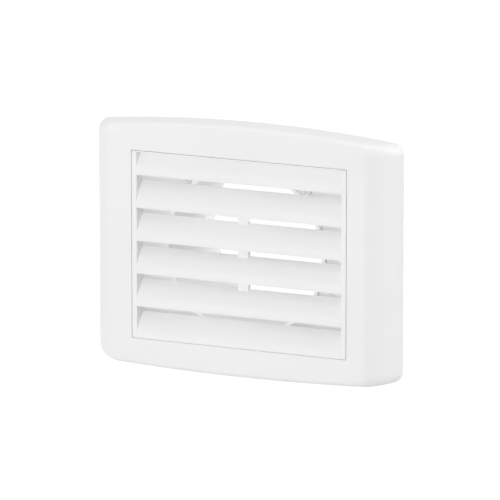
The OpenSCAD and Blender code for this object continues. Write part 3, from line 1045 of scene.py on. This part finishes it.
@dataclass
class DuctSeal:
    """The rubber ring in the spigot's groove, with two lips for the duct's wall, in millimetres."""

    groove_y: float = 49.5
    groove_w: float = 4.0
    inner_r: float = 48.9
    outer_r: float = 49.5
    lip_r: float = 49.7
    lip_t: float = 1.0
    band_t: float = 0.3
    edge_r: float = 0.06
    steps: int = 160

    def profile(self) -> np.ndarray:
        """The ring's section: a band with a lip at each side.

        Returns:
            Radii and depths of the closed profile.
        """
        y, w, t = self.groove_y, self.groove_w, self.lip_t
        return rounded_polygon([
            (self.inner_r, y), (self.lip_r, y), (self.lip_r, y + t / 3), (self.outer_r, y + t),
            (self.outer_r, y + w - t), (self.lip_r, y + w - t), (self.lip_r, y + w - 2 * t / 3),
            (self.inner_r + self.band_t, y + w), (self.inner_r, y + w)], self.edge_r, 3)

    def build(self) -> None:
        """Makes the seal in place of its CAD node."""
        make_piece("lipped_duct_seal", revolved(self.profile(), self.steps), Body.HOUSING,
                   Finish.SEAL, ("spigot_seal",), crease=50.0)


@dataclass
class PanScrew:
    """A pan-head screw with a cross recess, its head towards -Y, its sizes in millimetres."""

    head_r: float = 2.6
    head_h: float = 1.6
    dome: float = 0.45
    rim_h: float = 0.1
    rim_r: float = 0.08
    shank_r: float = 1.25
    shank_l: float = 5.0
    tip: float = 0.3
    recess_half: float = 0.34
    recess_reach: float = 1.5
    recess_depth: float = 0.95
    recess_soft: float = 0.05

    def surface(self) -> Surface:
        """The screw about the origin, with the head's underside at y = 0.

        The head's top is y = -h (1 - dome (r / R)^4), sunk by the recess where |u| is under the
        slot's half width and |v| under its reach, each with a soft edge 1 / (1 + e^d); the rim
        and the shank follow as rings.

        Returns:
            Vertices and faces.
        """
        steps, rings, middle = 72, 30, 0.03
        a = np.linspace(0, 2 * np.pi, steps, endpoint=False)[None]
        r = np.linspace(middle, self.head_r, rings)[:, None]
        across = np.stack([np.abs(r * np.cos(a)), np.abs(r * np.sin(a))])
        narrow, long = (1 / (1 + np.exp((across - edge) / self.recess_soft))
                        for edge in (self.recess_half, self.recess_reach))
        cross = np.max(narrow * long[::-1], axis=0)
        top = (-self.head_h * (1 - self.dome * (r / self.head_r) ** 4)
               + self.recess_depth * cross)
        below = np.array([
            (self.head_r, -self.rim_h), (self.head_r - self.rim_r, 0.0), (self.shank_r, 0.0),
            (self.shank_r, self.shank_l - self.tip), (self.shank_r - self.tip, self.shank_l)])
        radius = np.concatenate([r, below[:, :1]]) + 0 * a
        y = np.concatenate([top, below[:, 1:] + 0 * a])
        points = np.stack([radius * np.cos(a), y, radius * np.sin(a)], axis=-1)
        return points.reshape(-1, 3), tube_faces(points.shape[0], steps)

    def placed(self, places: list, turn: float = 0.0,
               about: tuple = (0.0, 0.0, 0.0)) -> Surface:
        """Copies of the screw.

        Args:
            places: where each head's underside goes, before the turn.
            turn: angle in degrees by which all are turned about X.
            about: a point on the axis of that turn.

        Returns:
            Vertices and faces.
        """
        screw, screw_faces = self.surface()
        verts, faces = joined([(screw + np.array(p), screw_faces) for p in places])
        c, s = np.cos(np.radians(turn)), np.sin(np.radians(turn))
        spin = np.array([[1, 0, 0], [0, c, -s], [0, s, c]])
        return verts @ spin.T + np.array(about), faces


@dataclass
class Fasteners:
    """The four screws of the spigot's flange and the two of the flap. Places in millimetres."""

    flange_r: float = 53.25
    plate_front: float = -5.0
    spindle_y: float = 41.0
    flap_x: float = 20.0
    flap_shank_l: float = 6.5
    barrel_r: float = 4.0
    open_angle: float = 76.0

    def build(self) -> None:
        """Makes both groups of screws in place of their CAD nodes."""
        c = self.flange_r / np.sqrt(2)
        flange = PanScrew().placed([(x, self.plate_front, z) for x in (-c, c) for z in (-c, c)])
        flap = PanScrew(shank_l=self.flap_shank_l).placed(
            [(x, -self.barrel_r, 0) for x in (-self.flap_x, self.flap_x)],
            self.open_angle, (0.0, self.spindle_y, 0.0))
        make_piece("flange_screws", flange, Body.HOUSING, Finish.LACQUER, ("spigot_screws",),
                   crease=45.0)
        make_piece("spindle_screws", flap, Body.DAMPER, Finish.SCREW, ("flap_screws",),
                   crease=45.0)


@dataclass
class CarriedNodes:
    """The CAD nodes that stay in view, each with its finish."""

    finishes: tuple = (
        ("base_plate", Finish.PLATE), ("duct_spigot", Finish.PLATE),
        ("spigot_flange", Finish.PLATE), ("damper_flap", Finish.PLATE),
        ("wall_gasket", Finish.GASKET), ("flap_seal", Finish.SEAL),
        ("spindle_bushes", Finish.BUSH), ("friction_washers", Finish.BUSH),
        ("damper_spindle", Finish.SPINDLE), ("louvre_comb", Finish.INSERT))

    def build(self) -> None:
        """Puts each node's finish into its material slots."""
        for name, finish in self.finishes:
            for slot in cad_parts[name].material_slots:
                slot.material = finish.material()
            log.info("%s: dressed in %s", name, finish.slot)


# Studio


def stand(thing: bpy.types.Object, right: np.ndarray, up: np.ndarray, back: np.ndarray,
          place: np.ndarray) -> None:
    """Turns an object, puts it in its place and links it to the scene.

    Args:
        thing: a camera or lamp, which looks along -Z.
        right: its X axis.
        up: its Y axis.
        back: its Z axis.
        place: where it stands.
    """
    turn = np.eye(4)
    turn[:3] = np.stack([right, up, back, place], axis=1)
    thing.matrix_world = Matrix(turn.tolist())
    bpy.context.scene.collection.objects.link(thing)


@dataclass(frozen=True)
class Lamp:
    """A soft square lamp that faces the origin.

    Attributes:
        name: name of the lamp.
        place: where it stands.
        size: side of the square in metres.
        power: power in watts.
        casts_shadow: off for a fill, whose light reaches into the slots as a white room's does.
    """

    name: str
    place: tuple
    size: float
    power: float
    casts_shadow: bool = True

    def build(self) -> None:
        """Makes the lamp."""
        data = bpy.data.lights.new(self.name, "AREA")
        data.size = self.size
        data.energy = self.power
        data.use_shadow = self.casts_shadow
        back = np.array(self.place) / np.linalg.norm(self.place)
        side = np.cross([0, 0, 1], back)
        side = side / np.linalg.norm(side)
        stand(bpy.data.objects.new(self.name, data), side, np.cross(back, side), back, self.place)


@dataclass
class Studio:
    """Camera, lamps, floor and white surroundings. Lengths in metres, angles in degrees."""

    azimuth: float = 24.0
    elevation: float = 12.9
    distance: float = 3.5
    pixels_per_mm: float = 1.74
    picture_pixels: int = 500
    sensor_mm: float = 36.0
    view_end: float = 100.0
    target: tuple = (-0.00057, 0.0, -0.00107)
    ambient: float = 0.428
    floor_z: float = -1.0
    floor_half: float = 12.0
    floor_glow: float = 0.67
    lamps: tuple = (
        Lamp("low_left_card", (-1.11, -2.493, -0.625), size=0.9, power=6.3),
        Lamp("high_fill", (0.206, -2.355, 1.847), size=1.0, power=24.4, casts_shadow=False),
        Lamp("left_fill", (-2.42, -1.695, 0.521), size=1.0, power=16.0, casts_shadow=False),
        Lamp("right_lamp", (2.273, 0.32, 1.221), size=1.6, power=29.0),
        Lamp("duct_lamp", (0.11, 0.33, 0.0), size=0.12, power=0.44),
        Lamp("top_lamp", (0.0, -0.486, 2.757), size=1.4, power=6.5))

    def camera(self) -> None:
        """Makes the camera, at the photograph's viewing angle."""
        a, e = np.radians(self.azimuth), np.radians(self.elevation)
        ahead = np.array([-np.sin(a) * np.cos(e), np.cos(a) * np.cos(e), -np.sin(e)])
        right = np.array([np.cos(a), np.sin(a), 0.0])
        data = bpy.data.cameras.new("camera")
        data.sensor_width = self.sensor_mm
        pixels_away = self.pixels_per_mm * self.distance / MM
        data.lens = pixels_away / self.picture_pixels * self.sensor_mm
        data.clip_end = self.view_end
        camera = bpy.data.objects.new("camera", data)
        eye = np.array(self.target) - ahead * self.distance
        stand(camera, right, np.cross(right, ahead), -ahead, eye)
        bpy.context.scene.camera = camera

    def seen_directly(self, desk: NodeDesk) -> bpy.types.NodeSocket:
        """Tells which rays come from the camera, a mirror or glass.

        Args:
            desk: desk of the tree that asks.

        Returns:
            1 for such rays, otherwise 0.
        """
        path = desk.add("ShaderNodeLightPath").outputs
        both = desk.maths("MAXIMUM", path["Is Camera Ray"], path["Is Glossy Ray"])
        return desk.maths("MAXIMUM", both, path["Is Transmission Ray"])

    def surroundings(self) -> None:
        """White surroundings: strength 1 where they are seen, and a plain level as light."""
        world = bpy.data.worlds.new("white_surroundings")
        world.use_nodes = True
        desk = NodeDesk(world.node_tree)
        strength = desk.spread(self.seen_directly(desk), self.ambient, 1.0)
        background = world.node_tree.nodes["Background"]
        desk.feed(background, {"Color": WHITE, "Strength": strength})
        bpy.context.scene.world = world

    def floor(self) -> None:
        """A wide pale floor below the valve: lit as any floor, and white where it is seen."""
        half, z = self.floor_half, self.floor_z
        mesh = bpy.data.meshes.new("studio_floor")
        mesh.from_pydata([(-half, -half, z), (half, -half, z), (half, half, z), (-half, half, z)],
                         [], [(0, 1, 2, 3)])
        material, desk, shader, place = started_material("pale_floor")
        tone = desk.spread(desk.noise(place, scale=40.0, detail=4.0), low=0.84, high=0.88)
        paper = desk.add("ShaderNodeCombineColor", {0: tone, 1: tone, 2: tone})
        glow = desk.maths("MULTIPLY", self.seen_directly(desk), self.floor_glow)
        desk.feed(shader, {"Base Color": paper.outputs[0], "Emission Strength": glow})
        shader.inputs["Roughness"].default_value = 0.9
        shader.inputs["Specular IOR Level"].default_value = 0.1
        shader.inputs["Emission Color"].default_value = WHITE
        mesh.materials.append(material)
        plane = bpy.data.objects.new("studio_floor", mesh)
        bpy.context.scene.collection.objects.link(plane)

    def build(self) -> None:
        """Sets up the whole studio."""
        self.camera()
        for lamp in self.lamps:
            lamp.build()
        self.surroundings()
        self.floor()
        bpy.context.scene.view_settings.view_transform = "Standard"
        log.info("studio: %d lamps", len(self.lamps))


def main() -> None:
    """Builds the valve's pieces in order, then the studio."""
    logging.basicConfig(level=logging.INFO, format="%(name)s: %(message)s")
    for assembly in (FrontCover(), LouvreInsert(), DuctSeal(), Fasteners(), CarriedNodes(),
                     Studio()):
        assembly.build()


if __name__ == "__main__":
    main()
